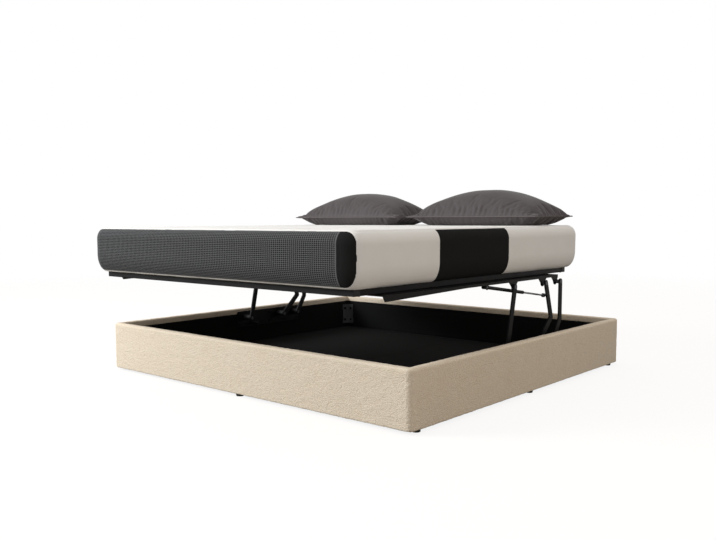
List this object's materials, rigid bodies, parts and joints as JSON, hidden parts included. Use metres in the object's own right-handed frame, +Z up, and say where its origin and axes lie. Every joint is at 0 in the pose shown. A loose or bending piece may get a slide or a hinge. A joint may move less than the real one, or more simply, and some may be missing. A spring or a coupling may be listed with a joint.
{
  "type": "upholstered storage bed",
  "caption": "Low upholstered box bed whose mattress platform rises level on parallel links and gas springs over an open storage well",
  "frame": {"origin": "on the floor at the middle of the base, at the bottom face of the centre glide", "axes": "+X towards the right side rail, +Y towards the head end where the pillows are, +Z up"},
  "size_m": [2.2, 2.3263, 1.0594],
  "materials": {
    "base_cloth": "cream looped upholstery cloth over thin foam",
    "rail_board": "raw particle board",
    "lining_cloth": "black non-woven lining",
    "floor_board": "black faced fibre board",
    "glide_plastic": "moulded glide",
    "zinc_steel": "zinc plated",
    "black_bolt": "black oxide",
    "pin_steel": "dark plated steel",
    "black_steel": "black powder coat",
    "spring_paint": "black satin paint",
    "spring_rod_steel": "polished rod",
    "slat_wood": "bent birch plywood",
    "slat_cap_plastic": "moulded cap",
    "mattress_cloth": "quilted white ticking with a dark mesh end",
    "pillow_cloth": "taupe grey sateen"
  },
  "bodies": {
    "base": {"cover_foot": "base_cloth", "cover_head": "base_cloth", "cover_left": "base_cloth", "cover_right": "base_cloth", "board_foot": "rail_board", "board_head": "rail_board", "board_left": "rail_board", "board_right": "rail_board", "lining_foot": "lining_cloth", "lining_head": "lining_cloth", "lining_left": "lining_cloth", "lining_right": "lining_cloth", "floor_cleats": "floor_board", "floor_bearers": "floor_board", "floor_panel_left": "floor_board", "floor_panel_right": "floor_board", "glides": "glide_plastic", "corner_brackets": "zinc_steel", "corner_bolts": "zinc_steel", "plate_bolts_right": "black_bolt", "plate_bolts_left": "black_bolt", "base_plate_right": "black_steel", "base_plate_left": "black_steel", "base_pins_right": "pin_steel", "base_pins_left": "pin_steel"},
    "front_link_right": {"front_link_right": "black_steel"},
    "rear_link_right": {"rear_link_right": "black_steel"},
    "stay_link_right": {"stay_link_right": "black_steel"},
    "front_link_left": {"front_link_left": "black_steel"},
    "rear_link_left": {"rear_link_left": "black_steel"},
    "stay_link_left": {"stay_link_left": "black_steel"},
    "platform": {"lift_arm_right": "black_steel", "lift_arm_left": "black_steel", "arm_pins_right": "pin_steel", "arm_pins_left": "pin_steel", "arm_bolts_right": "black_bolt", "arm_bolts_left": "black_bolt", "spring_foot_stud_right": "pin_steel", "spring_foot_stud_left": "pin_steel", "platform_side_tube_right": "black_steel", "platform_side_tube_left": "black_steel", "cross_tubes_right": "black_steel", "cross_tubes_left": "black_steel", "slats_right": "slat_wood", "slats_left": "slat_wood", "slat_caps_right": "slat_cap_plastic", "slat_caps_left": "slat_cap_plastic", "platform_foot_tube": "black_steel", "platform_head_tube": "black_steel", "platform_centre_beam": "black_steel", "mattress": "mattress_cloth", "pillow_right": "pillow_cloth", "pillow_left": "pillow_cloth"},
    "spring_tube_right": {"spring_tube_right": "spring_paint"},
    "spring_rod_right": {"spring_rod_right": "spring_rod_steel", "spring_knob_right": "pin_steel"},
    "spring_tube_left": {"spring_tube_left": "spring_paint"},
    "spring_rod_left": {"spring_rod_left": "spring_rod_steel", "spring_knob_left": "pin_steel"}
  },
  "joints": [
    {"name": "lift", "type": "hinge", "parent": "base", "child": "front_link_right", "pos_m": [0.978, -0.06757, 0.22211], "axis": [1, 0, 0], "range_deg": [-93, 0], "stiffness_Nm_per_rad": 171, "springref_deg": 51.57},
    {"name": "rear_link_swing_right", "type": "hinge", "parent": "base", "child": "rear_link_right", "pos_m": [0.9895, 0.25243, 0.22211], "axis": [1, 0, 0], "range_deg": [-93, 0]},
    {"name": "stay_link_swing_right", "type": "hinge", "parent": "base", "child": "stay_link_right", "pos_m": [1.001, 0.40243, 0.22211], "axis": [1, 0, 0], "range_deg": [-93, 0]},
    {"name": "front_link_swing_left", "type": "hinge", "parent": "base", "child": "front_link_left", "pos_m": [-0.978, -0.06757, 0.22211], "axis": [1, 0, 0], "range_deg": [-93, 0]},
    {"name": "rear_link_swing_left", "type": "hinge", "parent": "base", "child": "rear_link_left", "pos_m": [-0.9895, 0.25243, 0.22211], "axis": [1, 0, 0], "range_deg": [-93, 0]},
    {"name": "stay_link_swing_left", "type": "hinge", "parent": "base", "child": "stay_link_left", "pos_m": [-1.001, 0.40243, 0.22211], "axis": [1, 0, 0], "range_deg": [-93, 0]},
    {"name": "platform_level", "type": "hinge", "parent": "front_link_right", "child": "platform", "pos_m": [0.978, 0, 0.54], "axis": [1, 0, 0], "range_deg": [0, 93]},
    {"name": "spring_hinge_right", "type": "hinge", "parent": "platform", "child": "spring_tube_right", "pos_m": [0.95, -0.26, 0.556], "axis": [1, 0, 0], "range_deg": [0, 1.04]},
    {"name": "spring_slide_right", "type": "slide", "parent": "spring_tube_right", "child": "spring_rod_right", "axis": [0, 0.9902, -0.1399], "range_m": [-0.1286, 0]},
    {"name": "spring_hinge_left", "type": "hinge", "parent": "platform", "child": "spring_tube_left", "pos_m": [-0.95, -0.26, 0.556], "axis": [1, 0, 0], "range_deg": [0, 1.04]},
    {"name": "spring_slide_left", "type": "slide", "parent": "spring_tube_left", "child": "spring_rod_left", "axis": [0, 0.9902, -0.1399], "range_m": [-0.1286, 0]}
  ],
  "couplings": [
    {"joint": "rear_link_swing_right", "follows": "lift", "ratio": 1},
    {"joint": "stay_link_swing_right", "follows": "lift", "ratio": 1},
    {"joint": "front_link_swing_left", "follows": "lift", "ratio": 1},
    {"joint": "rear_link_swing_left", "follows": "lift", "ratio": 1},
    {"joint": "stay_link_swing_left", "follows": "lift", "ratio": 1},
    {"joint": "platform_level", "follows": "lift", "ratio": -1},
    {"joint": "spring_hinge_right", "follows": "lift", "ratio": -0.010991},
    {"joint": "spring_slide_right", "follows": "lift", "m_per_rad": 0.078836},
    {"joint": "spring_hinge_left", "follows": "lift", "ratio": -0.010991},
    {"joint": "spring_slide_left", "follows": "lift", "m_per_rad": 0.078836}
  ]
}
